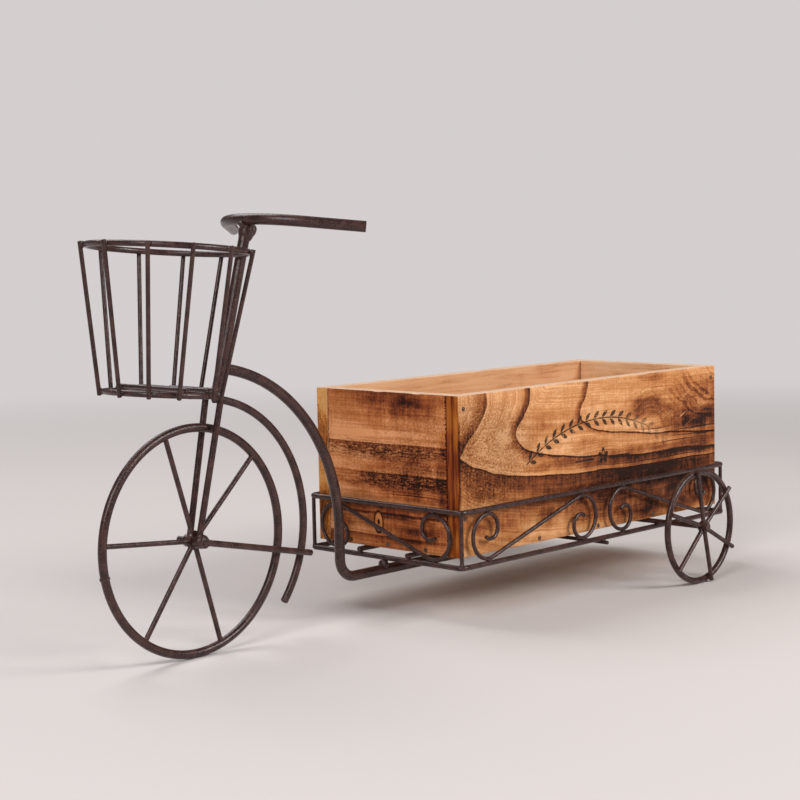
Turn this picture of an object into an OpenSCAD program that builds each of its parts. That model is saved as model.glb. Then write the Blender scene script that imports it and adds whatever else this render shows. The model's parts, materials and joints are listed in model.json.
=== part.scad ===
// Tricycle planter: a welded rod tricycle that carries a loose wooden box.
// The front wheel stands towards -X, the cart towards +X. All sizes are in millimetres.

/* [Front wheel] */
// Outside diameter of the front wheel
front_wheel_d = 160; // [140:1:170]
// Rod of the front wheel ring
front_ring_rod = 6; // [4:0.5:7]
// Width of the front hub along the axle
front_hub_w = 5; // [4:0.5:6]
// Outside diameter of the front hub
front_hub_d = 10; // [9:0.5:14]
// Directions of the hand set front spokes in degrees
front_spoke_angles = [44, 107, 175, 234, 286, 348]; // [0:1:360]

/* [Rear wheels] */
// Outside diameter of a rear wheel
rear_wheel_d = 92; // [80:1:92]
// Rod of a rear wheel ring
rear_ring_rod = 5; // [4:0.5:6]
// Width of a rear hub along the axle
rear_hub_w = 6; // [5:0.5:8]
// Outside diameter of a rear hub
rear_hub_d = 8.5; // [8:0.5:10]
// From the middle of the cart to the plane of a rear ring
rear_ring_y = 121; // [110:1:130]
// Directions of the hand set rear spokes in degrees
rear_spoke_angles = [37, 100, 161, 222, 283, 332]; // [0:1:360]

/* [Hubs and axles] */
// Rod of the spokes
spoke_rod = 3.5; // [3:0.5:4]
// Rod of both axles
axle_rod = 4; // [3:0.5:5]
// Radial running clearance between an axle and a hub
running_gap = 0.05; // [0.03:0.01:0.1]
// Diameter of the weld caps and collars on the rear axle
cap_d = 6; // [5.5:0.5:7]
// Thickness of a weld cap
cap_t = 1; // [1:0.5:3]
// How far the front axle stands out past the fork on the free side
axle_tail = 9; // [4:1:12]

/* [Fork and stem] */
// From the front hub back to the crown of the fork
crown_x = 21.3; // [15:0.1:25]
// Height of the crown of the fork
crown_z = 178; // [176:0.5:185]
// Rod of the fork
fork_rod = 4.5; // [4:0.5:5]
// Half the distance between the fork legs at the crown
fork_half_top = 7.85; // [7:0.05:10]
// Bend radius of the fork corners
fork_bend = 4; // [3.5:0.5:5]
// Diameter of the eyes that hold the front axle
fork_eye_d = 9; // [8:0.5:10]
// Rod of the stem and of the handlebar
stem_rod = 7.8; // [6:0.2:8]
// Lean of the stem from the vertical in degrees
stem_lean = 15.4; // [12:0.1:18]
// Length of the stem
stem_len = 116.6; // [112:0.2:125]
// How far the stem stands behind the crown
stem_back = 2.5; // [0:0.5:3]

/* [Handlebar] */
// Bend radius of the handlebar
bar_bend = 52; // [45:1:60]
// Half of the bend of the handlebar in degrees
bar_half_turn = 48; // [40:1:55]
// Straight length of each grip end
bar_end = 44; // [35:1:50]
// Drop of the handlebar towards the rear in degrees
bar_drop = 8; // [4:1:12]
// How far the bar lies ahead of the stem
bar_ahead = 2.5; // [0:0.5:3]

/* [Main tube] */
// Rod of the main tube
tube_rod = 7.6; // [6:0.2:7.6]
// Radius of the long bow of the main tube
tube_bow = 126.4; // [122:0.2:130]
// Where the main tube runs straight down
tube_down_x = 137.4; // [134:0.2:144]
// Height at which the bow ends
tube_shoulder_z = 70; // [66:1:74]
// Radius of the bend under the cart
tube_foot_bend = 14; // [10:1:20]

/* [Mudguard and stay] */
// Rod of the mudguard
guard_rod = 5.5; // [4:0.1:6]
// Radius of the mudguard
guard_r = 92; // [90:0.5:94]
// Centre of the mudguard behind the front hub
guard_x = 9.6; // [8:0.1:11]
// How far the mudguard starts below the middle of the crown
guard_seat = 3.2; // [3:0.1:4]
// Direction of the lower end of the mudguard below level in degrees
guard_end_angle = 39; // [30:1:60]
// Rod of the stay
stay_rod = 4.5; // [3:0.5:5]
// Fall of the stay in degrees
stay_fall = 12.1; // [10:0.1:16]
// How far the stay runs past the mudguard
stay_tail = 2; // [1:0.5:5]
// Diameter of the eye that holds the stay on the front axle
stay_eye_d = 8; // [7:0.5:9]

/* [Basket] */
// Rod of both basket rings
basket_ring_rod = 4.2; // [4:0.1:5]
// Radius of the rim ring
rim_r = 54.1; // [50:0.1:60]
// Radius of the base ring
base_r = 37.1; // [34:0.1:42]
// Height of the rim ring
rim_z = 277.5; // [265:0.1:282]
// Height of the base ring
base_z = 181.7; // [180:0.1:184]
// Lean of the basket in degrees
basket_lean = 5.4; // [4:0.1:8]
// How far the basket sits to the right of the middle
basket_y = 5.5; // [0:0.5:7]
// Rod of the staves
stave_rod = 3; // [2.5:0.5:3.5]
// How far the staves reach above the middle of the rim rod
stave_top = 1.5; // [1:0.1:5]
// How far the staves reach below the middle of the base rod
stave_foot = 2.6; // [1:0.1:5]
// Directions of the hand set staves in degrees from the stem, at the base and at the rim
stave_angles = [
    [10, 11], [39, 40], [70, 71], [106, 103], [140, 147],
    [190, 186], [220, 218], [248, 247], [289, 276], [310, 306]
]; // [0:1:360]
// Rod of the basket floor
floor_rod = 3; // [2.5:0.5:3.5]
// Distance between the floor rods
floor_pitch = 18; // [12:1:20]
// How far behind the middle of the base ring the middle floor rod lies
floor_back = 10; // [0:0.5:12]

/* [Box] */
// Length of the box
box_l = 327; // [300:1:340]
// Width of the box
box_w = 147; // [130:1:160]
// Height of the box
box_h = 119; // [100:1:140]
// Thickness of the side and end boards
board_t = 12; // [9:0.5:14]
// Thickness of the bottom board
bottom_t = 9; // [6:0.5:12]
// Where the box starts behind the front hub
box_x = 187.6; // [182:0.2:195]

/* [Nails] */
// Shank diameter of a nail
nail_d = 1.8; // [1.4:0.1:2.2]
// Head diameter of a nail
nail_head_d = 3.4; // [3:0.1:4]
// Head thickness of a nail
nail_head_t = 0.8; // [0.5:0.1:1]
// Length of a nail
nail_l = 25; // [20:1:30]
// Distance between the nails in a side
side_nail_pitch = 73; // [60:1:90]
// Distance between the nails in an end
end_nail_pitch = 39; // [30:1:45]
// From the underside of the box up to the bottom nails
bottom_nail_up = 3.2; // [3:0.1:5]
// From an edge to the nearest corner nail
corner_nail_edge = 10; // [8:1:14]

/* [Cart] */
// Rod of the rails, the bed bars and the cross bar
rail_rod = 4; // [3.5:0.5:4]
// Height of the lower rail
lower_rail_z = 42; // [40:0.5:43]
// Height of the upper rail above the lower rail
rail_rise = 40.4; // [36:0.2:46]
// Bend radius of the rail corners
rail_bend = 4; // [3.5:0.5:6]
// Room between the box and a rail at each side
box_side_gap = 2.5; // [1:0.1:4]
// Room between the box and a rail at each end
box_end_gap = 1.4; // [1:0.1:3]
// Rod of the corner posts
post_rod = 3; // [2.5:0.5:3.5]
// How far the cross bar stands past the rails
bar_tail = 2.5; // [2:0.5:4]
// Rod of the middle cross bar
cross_rod = 3; // [3:0.5:3.5]
// Where the rear axle lies behind the front hub
rear_axle_x = 421; // [410:1:430]
// Half the distance between the bed bars
bed_bar_y = 25; // [15:1:25]

/* [Scrolls] */
// Rod of the scrolls
scroll_rod = 3; // [2.5:0.5:3.5]
// From the middle of a side to the nearest scroll
scroll_middle_gap = 9; // [5:1:12]
// From the end of a side rail to the nearest scroll
scroll_end_gap = 12.5; // [8:0.5:16]
// From the side of an end rail to the nearest scroll
scroll_side_gap = 11.5; // [8:0.5:16]
// Radius of the second bend of a curl
curl_mid_r = 11; // [10:0.5:12]
// Radius of the last bend of a curl
curl_tip_r = 8; // [7:0.5:8]
// Turn of the last bend of a curl in degrees
curl_tip_turn = 130; // [90:5:160]

/* [Hidden] */

rod_sides = 14; // facets round a rod
bend_sides = 20; // facets round a full turn of a small bend
ring_sides = 48; // facets round a wheel or basket ring
hair = 0.02; // hairline left where two welded rods touch
side_gap = 0.1; // room between a hub and what holds it sideways
collar_w = 0.6; // length of the collar between two runs of a bent rod
collar_proud = 0.04; // how far a collar stands proud of its rod
tip_short = 0.35; // how far inside the outside of its ring a rear spoke ends
weld_d = 5; // lump of weld between the main tube and the front rail
reach = 2; // how far a cutting tool runs past what it cuts

steel = "#4a3430";
wood = "#b8824c";
nail_steel = "#5a5450";

// Front wheel, fork and stem, all in the middle plane
hub_z = front_wheel_d / 2;
front_ring_r = (front_wheel_d - front_ring_rod) / 2;
fork_half_hub = (front_hub_w + fork_rod) / 2 + side_gap;
fork_lean = atan2(crown_x, crown_z - hub_z);
fork_len = norm([crown_x, crown_z - hub_z]);
fork_squeeze = atan2(fork_half_top - fork_half_hub, fork_len - fork_bend);
fork_leg = (fork_len - fork_bend * (1 + sin(fork_squeeze))) / cos(fork_squeeze);
stem_up = [sin(stem_lean), cos(stem_lean)];
stem_rear = [cos(stem_lean), -sin(stem_lean)];
stem_foot = [crown_x, crown_z] + stem_up * (fork_rod / 2 + hair) + stem_rear * stem_back;
stem_top = stem_foot + stem_up * stem_len;
bar_apex = stem_top + stem_up * (stem_rod / 2 + hair) - stem_rear * bar_ahead;

// Cart, worked out from the box that stands in it
box_mid = box_x + box_l / 2;
rail_x0 = box_x - box_end_gap - rail_rod / 2;
rail_x1 = box_x + box_l + box_end_gap + rail_rod / 2;
rail_y = box_w / 2 + box_side_gap + rail_rod / 2;
upper_rail_z = lower_rail_z + rail_rise;
axle_z = rear_wheel_d / 2;
rear_ring_r = (rear_wheel_d - rear_ring_rod) / 2;
bed_z = lower_rail_z + rail_rod + hair;
box_z = max(axle_z + axle_rod / 2, bed_z + rail_rod / 2) + hair;
cross_z = lower_rail_z - (rail_rod + cross_rod) / 2 - hair;
tube_foot_z = cross_z - (cross_rod + tube_rod) / 2 - hair;
post_in = rail_bend * (1 - cos(45));

// Main tube: the bow starts where its middle line meets the middle line of the stem
tube_centre = [tube_down_x - tube_bow, tube_shoulder_z];
tube_start = acos((stem_foot - tube_centre) * stem_rear / tube_bow) - stem_lean;

// Mudguard: the arc starts under the crown
guard_start = acos((crown_x - guard_x) / guard_r);
guard_z = crown_z - guard_seat - guard_r * sin(guard_start);
guard_up = guard_z - hub_z;
stay_hub_y = fork_half_hub + (fork_rod + stay_rod) / 2 + side_gap;
stay_guard_y = (guard_rod + stay_rod) / 2 + 2 * hair;
stay_span = guard_x + sqrt(pow(guard_r, 2) - pow(guard_up + guard_x * tan(stay_fall), 2));

// Basket: the rim leans on the stem and the base ring on the crown
basket_rear = [cos(basket_lean), 0, -sin(basket_lean)];
rim_touch = rim_r * cos(stem_lean - basket_lean) + (stem_rod + basket_ring_rod) / 2 + hair;
rim_back = sqrt(pow(rim_touch, 2) - pow(basket_y, 2));
rim_x = stem_foot[0] + ((rim_z - stem_foot[1]) * sin(stem_lean) - rim_back) / cos(stem_lean);
crown_half = fork_half_top - fork_bend;
base_back = sqrt(pow(base_r, 2) - pow(max(0, basket_y - crown_half), 2));
base_x = crown_x - (fork_rod + basket_ring_rod) / 2 - hair - base_back * cos(basket_lean);
stave_slope = atan2(rim_r - base_r, rim_z - base_z);
stave_out = ((basket_ring_rod + stave_rod) / 2 + 2 * hair) / cos(stave_slope);
floor_up = (basket_ring_rod + floor_rod) / 2 + hair;

// Scrolls fill the height between the rails
curl_r = (rail_rise - rail_rod - scroll_rod) / 2 - hair;
scroll_z = (upper_rail_z + lower_rail_z) / 2;
side_scroll_span = (rail_x1 - rail_x0) / 2 - scroll_end_gap - scroll_middle_gap - 2 * curl_r;
end_scroll_span = 2 * (rail_y - scroll_side_gap - curl_r);

// Rear hubs, spokes on the outer face of the rings
rear_spoke_y = rear_ring_y + (rear_ring_rod + spoke_rod) / 2 + hair;
rear_hub_end = rear_spoke_y + rear_hub_w / 2;
axle_end = rear_hub_end + side_gap + cap_t;

// The origin lies under the middle of the whole object
rear_end = rail_x1 + rail_rod / 2;
mid_x = (rear_end - front_wheel_d / 2) / 2;

module place() {
    translate([-mid_x, 0, 0]) children();
}

// Straight round rod between two points
module rod(a, b, d) {
    v = b - a;
    translate(a)
        rotate([0, acos(v[2] / norm(v)), atan2(v[1], v[0])])
            cylinder(d = d, h = norm(v), $fn = rod_sides);
}

// Part of a ring in the XY plane
module arc(r, d, from, sweep, sides = bend_sides) {
    rotate([0, 0, from])
        rotate_extrude(angle = sweep, $fn = sides)
            translate([r, 0]) circle(d = d, $fn = rod_sides);
}

// Rod bent in the XY plane from the origin: [length] runs straight, [radius, turn] bends it,
// to the left for a positive turn. A hair of a collar keeps each run and the next in one piece
module bent_rod(steps, d, i = 0) {
    if (i < len(steps)) {
        size = steps[i][0];
        if (i > 0) translate([-collar_w / 2, 0, 0]) rotate([0, 90, 0])
            cylinder(d = d + 2 * collar_proud, h = collar_w, $fn = rod_sides);
        if (len(steps[i]) == 1) {
            rotate([0, 90, 0]) cylinder(d = d, h = size, $fn = rod_sides);
            translate([size, 0, 0]) bent_rod(steps, d, i + 1);
        } else {
            turn = steps[i][1];
            centre = [0, sign(turn) * size, 0];
            translate(centre) {
                arc(size, d, turn > 0 ? -90 : 90 + turn, abs(turn));
                rotate([0, 0, turn]) translate(-centre) bent_rod(steps, d, i + 1);
            }
        }
    }
}

// Turns the XY plane up into the XZ plane
module upright() {
    rotate([90, 0, 0]) children();
}

module both_sides() {
    for (side = [0, 1]) mirror([0, side, 0]) children();
}

// Whole ring in the XY plane
module ring(r, d) {
    rotate_extrude($fn = ring_sides) translate([r, 0]) circle(d = d, $fn = rod_sides);
}

// Cylinder along Y, its middle at y
module cross_pin(d, w, y = 0) {
    translate([0, y + w / 2, 0]) upright() cylinder(d = d, h = w, $fn = ring_sides);
}

module stem_axis() {
    rod([stem_foot[0], 0, stem_foot[1]], [stem_top[0], 0, stem_top[1]], stem_rod);
}

module crown_bar() {
    translate([crown_x, fork_half_top, crown_z])
        upright() cylinder(d = fork_rod + 2 * hair, h = 2 * fork_half_top, $fn = rod_sides);
}

module stem() {
    color(steel) place() stem_axis();
}

module handlebar() {
    tip_x = bar_bend * (1 - cos(bar_half_turn)) + bar_end * sin(bar_half_turn);
    tip_y = bar_bend * sin(bar_half_turn) + bar_end * cos(bar_half_turn);
    color(steel) place() translate([bar_apex[0], 0, bar_apex[1]]) rotate([0, bar_drop, 0])
        translate([tip_x, -tip_y, 0]) rotate([0, 0, 90 + bar_half_turn])
            bent_rod([[bar_end], [bar_bend, -2 * bar_half_turn], [bar_end]], stem_rod);
}

module fork() {
    color(steel) place() difference() {
        union() {
            translate([crown_x, 0, crown_z]) rotate([0, fork_lean, 0]) both_sides()
                rotate([90, 0, 90])
                    bent_rod([[crown_half], [fork_bend, -90 - fork_squeeze], [fork_leg]],
                        fork_rod);
            translate([0, 0, hub_z]) both_sides() cross_pin(fork_eye_d, fork_rod, fork_half_hub);
        }
        translate([0, 0, hub_z]) cross_pin(axle_rod, 2 * (fork_half_top + fork_rod));
    }
}

module front_axle() {
    near = -stay_hub_y - stay_rod / 2 - cap_t;
    far = fork_half_hub + fork_rod / 2 + axle_tail;
    color(steel) place() translate([0, 0, hub_z])
        cross_pin(axle_rod, far - near, (far + near) / 2);
}

module mudguard() {
    color(steel) place() difference() {
        translate([guard_x, 0, guard_z]) upright()
            arc(guard_r, guard_rod, -guard_end_angle, guard_start + guard_end_angle, ring_sides);
        crown_bar();
    }
}

module mudguard_stay() {
    inward = (stay_hub_y - stay_guard_y) / stay_span;
    run = stay_span + stay_tail;
    color(steel) place() translate([0, 0, hub_z]) difference() {
        union() {
            rod([0, -stay_hub_y, 0], run * [1, 0, -tan(stay_fall)] + [0, run * inward - stay_hub_y, 0],
                stay_rod);
            cross_pin(stay_eye_d, stay_rod, -stay_hub_y);
        }
        cross_pin(axle_rod, stay_rod + 2 * reach, -stay_hub_y);
    }
}

module main_tube() {
    down = tube_shoulder_z - tube_foot_z - tube_foot_bend;
    back = box_mid + bar_tail - tube_down_x - tube_foot_bend;
    color(steel) place() difference() {
        union() {
            translate([tube_centre[0], 0, tube_centre[1]]) upright() {
                arc(tube_bow, tube_rod, 0, tube_start, ring_sides);
                translate([tube_bow, 0, 0]) rotate([0, 0, -90])
                    bent_rod([[down], [tube_foot_bend, 90], [back]], tube_rod);
            }
            translate([rail_x0, 0, tube_foot_z])
                cylinder(d = weld_d, h = lower_rail_z - tube_foot_z, $fn = ring_sides);
        }
        stem_axis();
        translate([rail_x0, 0, lower_rail_z]) cross_pin(rail_rod, 2 * weld_d);
    }
}

// Tilts children into the plane of a basket ring
module at_ring(x, z) {
    translate([x, basket_y, z]) rotate([0, basket_lean, 0]) children();
}

module basket_rim() {
    color(steel) place() at_ring(rim_x, rim_z) ring(rim_r, basket_ring_rod);
}

module basket_base_ring() {
    color(steel) place() at_ring(base_x, base_z) ring(base_r, basket_ring_rod);
}

// Direction in the plane of a basket ring, turned away from the stem
function ring_way(angle) = cos(angle) * basket_rear + [0, sin(angle), 0];

module basket_staves() {
    color(steel) place() for (angles = stave_angles) {
        low = [base_x, basket_y, base_z] + ring_way(angles[0]) * (base_r + stave_out);
        high = [rim_x, basket_y, rim_z] + ring_way(angles[1]) * (rim_r + stave_out);
        up = (high - low) / norm(high - low);
        rod(low - up * stave_foot, high + up * stave_top, stave_rod);
    }
}

module basket_floor_rods() {
    color(steel) place() at_ring(base_x, base_z) for (i = [-1, 0, 1]) {
        back = floor_back + i * floor_pitch;
        half = sqrt(pow(base_r, 2) - pow(back, 2));
        translate([back, 0, floor_up]) cross_pin(floor_rod, 2 * half);
    }
}

// Rectangular loop of rod round the cart at the given height
module rail(z) {
    long = rail_x1 - rail_x0 - 2 * rail_bend;
    wide = 2 * (rail_y - rail_bend);
    color(steel) place() translate([rail_x0 + rail_bend, -rail_y, z])
        bent_rod([[long], [rail_bend, 90], [wide], [rail_bend, 90], [long], [rail_bend, 90], [wide],
            [rail_bend, 90]], rail_rod);
}

module upper_rail() {
    rail(upper_rail_z);
}

module lower_rail() {
    rail(lower_rail_z);
}

// Posts between the rails, on the middle of the bends
module corner_posts() {
    low = lower_rail_z + rail_rod / 2 + hair;
    color(steel) place() both_sides() for (x = [rail_x0 + post_in, rail_x1 - post_in])
        translate([x, rail_y - post_in, low])
            cylinder(d = post_rod, h = rail_rise - rail_rod - 2 * hair, $fn = rod_sides);
}

module middle_cross_bar() {
    color(steel) place() translate([box_mid, 0, cross_z])
        cross_pin(cross_rod, 2 * (rail_y + rail_rod / 2 + bar_tail));
}

module bed_bars() {
    color(steel) place() both_sides()
        translate([rail_x0 - rail_rod / 2, bed_bar_y, bed_z]) rotate([0, 90, 0])
            cylinder(d = rail_rod, h = rear_axle_x - axle_rod / 2 - hair - rail_x0 + rail_rod / 2,
                $fn = rod_sides);
}

module rear_axle() {
    color(steel) place() translate([rear_axle_x, 0, axle_z]) cross_pin(axle_rod, 2 * axle_end);
}

// One S scroll in the XY plane, rising to the right, centred on the origin
module scroll(span) {
    lean = asin(2 * curl_r / span);
    for (end = [0, 180]) rotate([0, 0, end + lean])
        bent_rod([[span / 2 * cos(lean)], [curl_r, -180 - lean], [curl_mid_r, -90],
            [curl_tip_r, -curl_tip_turn]], scroll_rod);
}

module side_scrolls() {
    color(steel) place() translate([box_mid, -rail_y, scroll_z]) for (end = [0, 1])
        mirror([end, 0, 0]) translate([-scroll_middle_gap - curl_r - side_scroll_span / 2, 0, 0])
            upright() scroll(side_scroll_span);
}

module left_side_scrolls() {
    side_scrolls();
}

module right_side_scrolls() {
    mirror([0, 1, 0]) side_scrolls();
}

module front_scroll() {
    color(steel) place() translate([rail_x0, 0, scroll_z])
        rotate([90, 0, 90]) scroll(end_scroll_span);
}

module rear_scroll() {
    color(steel) place() translate([rail_x1, 0, scroll_z])
        rotate([90, 0, 90]) scroll(end_scroll_span);
}

module at_front_hub() {
    place() translate([0, 0, hub_z]) children();
}

// Hub sleeve with its running bore
module hub(d, w) {
    difference() {
        cross_pin(d, w);
        cross_pin(axle_rod + 2 * running_gap, w + 2 * reach);
    }
}

module front_wheel_ring() {
    color(steel) at_front_hub() upright() ring(front_ring_r, front_ring_rod);
}

module front_wheel_spokes() {
    color(steel) at_front_hub() difference() {
        for (angle = front_spoke_angles)
            rod([0, 0, 0], front_ring_r * [cos(angle), 0, sin(angle)], spoke_rod);
        cross_pin(front_hub_d + 2 * hair, front_hub_d);
        upright() ring(front_ring_r, front_ring_rod + 2 * hair);
    }
}

module front_wheel_hub() {
    color(steel) at_front_hub() hub(front_hub_d, front_hub_w);
}

module at_rear_hub(y) {
    place() translate([rear_axle_x, y, axle_z]) children();
}

module left_wheel_ring() {
    color(steel) at_rear_hub(-rear_ring_y) upright() ring(rear_ring_r, rear_ring_rod);
}

module left_wheel_spokes() {
    tip = rear_wheel_d / 2 - tip_short;
    color(steel) at_rear_hub(-rear_spoke_y) difference() {
        for (angle = rear_spoke_angles) rod([0, 0, 0], tip * [cos(angle), 0, sin(angle)], spoke_rod);
        cross_pin(rear_hub_d + 2 * hair, rear_hub_d);
    }
}

module left_wheel_hub() {
    color(steel) at_rear_hub(-rear_spoke_y) hub(rear_hub_d, rear_hub_w);
}

module right_wheel_ring() {
    mirror([0, 1, 0]) left_wheel_ring();
}

module right_wheel_spokes() {
    mirror([0, 1, 0]) left_wheel_spokes();
}

module right_wheel_hub() {
    mirror([0, 1, 0]) left_wheel_hub();
}

// Weld caps outside the hubs and collars inside them, on the rear axle
module axle_caps() {
    inner = rear_spoke_y - rear_hub_w / 2 - side_gap - cap_t / 2;
    outer = axle_end - cap_t / 2;
    color(steel) place() translate([rear_axle_x, 0, axle_z]) both_sides() for (y = [inner, outer])
        difference() {
            cross_pin(cap_d, cap_t, y);
            cross_pin(axle_rod, cap_t + 2 * reach, y);
        }
}

// Nail along +Y with its head flush at the origin
module nail() {
    cross_pin(nail_head_d, nail_head_t, nail_head_t / 2);
    cross_pin(nail_d, nail_l, nail_l / 2);
}

// Every nail of the box: through the sides and the ends
module all_nails() {
    low = box_z + bottom_nail_up;
    both_sides() translate([0, -box_w / 2, 0]) {
        for (i = [-1, 0, 1]) translate([box_mid + i * side_nail_pitch, 0, low]) nail();
        for (x = [box_x + board_t / 2, box_x + box_l - board_t / 2],
            z = [box_z + bottom_t + 2 * corner_nail_edge, box_z + box_h - corner_nail_edge])
            translate([x, 0, z]) nail();
    }
    for (end = [0, 1]) translate([box_mid, 0, 0]) mirror([end, 0, 0]) translate([-box_l / 2, 0, low])
        for (i = [-1, 0, 1]) translate([0, i * end_nail_pitch, 0]) rotate([0, 0, -90]) nail();
}

// One board from its low corner, with the nail holes in it
module board(corner, size) {
    color(wood) place() difference() {
        translate(corner) cube(size);
        all_nails();
    }
}

module left_board() {
    board([box_x, -box_w / 2, box_z], [box_l, board_t, box_h]);
}

module right_board() {
    board([box_x, box_w / 2 - board_t, box_z], [box_l, board_t, box_h]);
}

module front_board() {
    board([box_x, board_t - box_w / 2, box_z], [board_t, box_w - 2 * board_t, box_h]);
}

module rear_board() {
    board([box_x + box_l - board_t, board_t - box_w / 2, box_z],
        [board_t, box_w - 2 * board_t, box_h]);
}

module bottom_board() {
    board([box_x + board_t, board_t - box_w / 2, box_z],
        [box_l - 2 * board_t, box_w - 2 * board_t, bottom_t]);
}

module nails() {
    color(nail_steel) place() all_nails();
}

stem();
handlebar();
fork();
front_axle();
mudguard();
mudguard_stay();
main_tube();
basket_rim();
basket_base_ring();
basket_staves();
basket_floor_rods();
upper_rail();
lower_rail();
corner_posts();
middle_cross_bar();
bed_bars();
rear_axle();
left_side_scrolls();
right_side_scrolls();
front_scroll();
rear_scroll();
front_wheel_ring();
front_wheel_spokes();
front_wheel_hub();
left_wheel_ring();
left_wheel_spokes();
left_wheel_hub();
right_wheel_ring();
right_wheel_spokes();
right_wheel_hub();
axle_caps();
left_board();
right_board();
front_board();
rear_board();
bottom_board();
nails();
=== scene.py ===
import json
import math
import random

import bpy
from mathutils import Matrix, Vector
from mathutils.bvhtree import BVHTree

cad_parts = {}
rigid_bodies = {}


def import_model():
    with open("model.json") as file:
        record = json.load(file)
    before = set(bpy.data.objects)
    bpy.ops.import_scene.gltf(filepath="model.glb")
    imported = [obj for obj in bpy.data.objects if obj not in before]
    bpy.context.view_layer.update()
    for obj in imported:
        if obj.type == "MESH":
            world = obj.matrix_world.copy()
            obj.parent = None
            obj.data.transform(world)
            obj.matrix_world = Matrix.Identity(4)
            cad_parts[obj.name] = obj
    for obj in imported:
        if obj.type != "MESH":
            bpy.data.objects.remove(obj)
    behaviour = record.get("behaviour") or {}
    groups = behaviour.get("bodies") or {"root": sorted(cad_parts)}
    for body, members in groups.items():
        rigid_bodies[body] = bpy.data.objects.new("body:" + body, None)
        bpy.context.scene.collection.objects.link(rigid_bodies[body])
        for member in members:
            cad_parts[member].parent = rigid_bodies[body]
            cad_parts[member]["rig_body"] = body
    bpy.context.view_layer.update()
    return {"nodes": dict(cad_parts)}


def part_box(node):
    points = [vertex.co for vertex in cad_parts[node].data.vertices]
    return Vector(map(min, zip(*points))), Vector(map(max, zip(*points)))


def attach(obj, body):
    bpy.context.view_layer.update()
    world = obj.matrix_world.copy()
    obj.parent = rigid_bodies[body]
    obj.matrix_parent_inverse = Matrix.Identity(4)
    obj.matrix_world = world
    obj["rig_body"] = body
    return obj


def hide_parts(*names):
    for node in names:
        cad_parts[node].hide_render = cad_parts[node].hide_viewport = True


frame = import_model()
cadNodes = frame["nodes"]
mm = 0.001
random.seed(11)
print("frame loaded:", len(cadNodes), "nodes")


# node helpers: every value that is a socket gets linked, the rest is typed in

def addNode(tree, kind, inputs=None, **settings):
    node = tree.nodes.new(kind)
    for name, value in settings.items():
        setattr(node, name, value)
    for name, value in (inputs or {}).items():
        if isinstance(value, bpy.types.NodeSocket):
            tree.links.new(value, node.inputs[name])
        else:
            node.inputs[name].default_value = value
    return node


def calc(tree, operation, a, b=0.0, c=0.0, clamp=False):
    node = addNode(tree, "ShaderNodeMath", {0: a, 1: b, 2: c}, operation=operation, use_clamp=clamp)
    return node.outputs[0]


def times(tree, a, b):
    return calc(tree, "MULTIPLY", a, b)


def plus(tree, a, b):
    return calc(tree, "ADD", a, b)


def minus(tree, a, b):
    return calc(tree, "SUBTRACT", a, b)


def timesPlus(tree, a, b, c):
    return calc(tree, "MULTIPLY_ADD", a, b, c)


def larger(tree, a, b):
    return calc(tree, "MAXIMUM", a, b)


def unsigned(tree, a):
    return calc(tree, "ABSOLUTE", a)


def distance(tree, across, up):
    return calc(tree, "SQRT", plus(tree, times(tree, across, across), times(tree, up, up)))


def addLayer(tree, value, layer, share):  # a layer adds above its middle tone and takes away below it
    return timesPlus(tree, minus(tree, layer, 0.5), share, value)


def noise(tree, vector, scale, detail=2.0, roughness=0.5, distortion=0.0):
    inputs = {"Vector": vector, "Scale": scale, "Detail": detail, "Roughness": roughness}
    return addNode(tree, "ShaderNodeTexNoise", {**inputs, "Distortion": distortion}).outputs["Fac"]


def remap(tree, value, low, high, newLow=0.0, newHigh=1.0, kind="SMOOTHSTEP"):
    inputs = {"Value": value, "From Min": low, "From Max": high, "To Min": newLow, "To Max": newHigh}
    return addNode(tree, "ShaderNodeMapRange", inputs, interpolation_type=kind).outputs[0]


def crisp(tree, value, low, high):
    return remap(tree, value, low, high, kind="LINEAR")


def ramp(tree, value, stops):
    node = addNode(tree, "ShaderNodeValToRGB", {"Fac": value})
    band = node.color_ramp
    while len(band.elements) < len(stops):
        band.elements.new(0.5)
    for element, (place, tone) in zip(band.elements, stops):
        element.position = place
        element.color = (tone, tone, tone, 1) if isinstance(tone, float) else (*tone, 1)
    return node.outputs["Color"]


def blendColor(tree, factor, first, second, kind="MIX"):
    node = addNode(tree, "ShaderNodeMix", data_type="RGBA", blend_type=kind, clamp_factor=True)
    for name, value in (("Factor_Float", factor), ("A_Color", first), ("B_Color", second)):
        socket = next(s for s in node.inputs if s.identifier == name)
        if isinstance(value, bpy.types.NodeSocket):
            tree.links.new(value, socket)
        else:
            socket.default_value = value if isinstance(value, float) else (*value, 1)
    return next(s for s in node.outputs if s.identifier == "Result_Color")


def bump(tree, height, strength, deep, **under):
    inputs = {"Height": height, "Strength": strength, "Distance": deep * mm, **under}
    return addNode(tree, "ShaderNodeBump", inputs).outputs[0]


def newMaterial(name):
    material = bpy.data.materials.new(name)
    material.use_nodes = True
    tree = material.node_tree
    shader = tree.nodes["Principled BSDF"]
    place = tree.nodes.new("ShaderNodeTexCoord").outputs["Object"]
    return material, tree, shader, place


def dressNode(piece, material):
    piece.data.materials.clear()
    piece.data.materials.append(material)


# paint of the frame: dark brown, satin, sprayed over rough rod

# the pale fine speck tone is painted speckle highlight on the pitted paint, mixed in where the fine grain
# rises
paintLook = {"deep": (0.026, 0.0105, 0.0085), "warm": (0.060, 0.0255, 0.0215), "fineSpeck": (0.200, 0.100, 0.086),
             "wave": 150, "waveDetail": 4, "waveEdge": (0.35, 0.68), "grain": 1300, "grainDetail": 3,
             "grainRough": 0.6, "grainEdge": (0.3, 0.7), "speckHighlightEdge": (0.57, 0.70), "speckHighlight": 0.42,
             "rough": (0.17, 0.32), "shine": 0.42, "grainBump": 0.8, "grainDeep": 0.2, "waveBump": 0.45,
             "waveDeep": 0.7}
weldPaintLook = {**paintLook, "wave": 420, "rough": (0.22, 0.32), "waveBump": 0.72}


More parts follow.
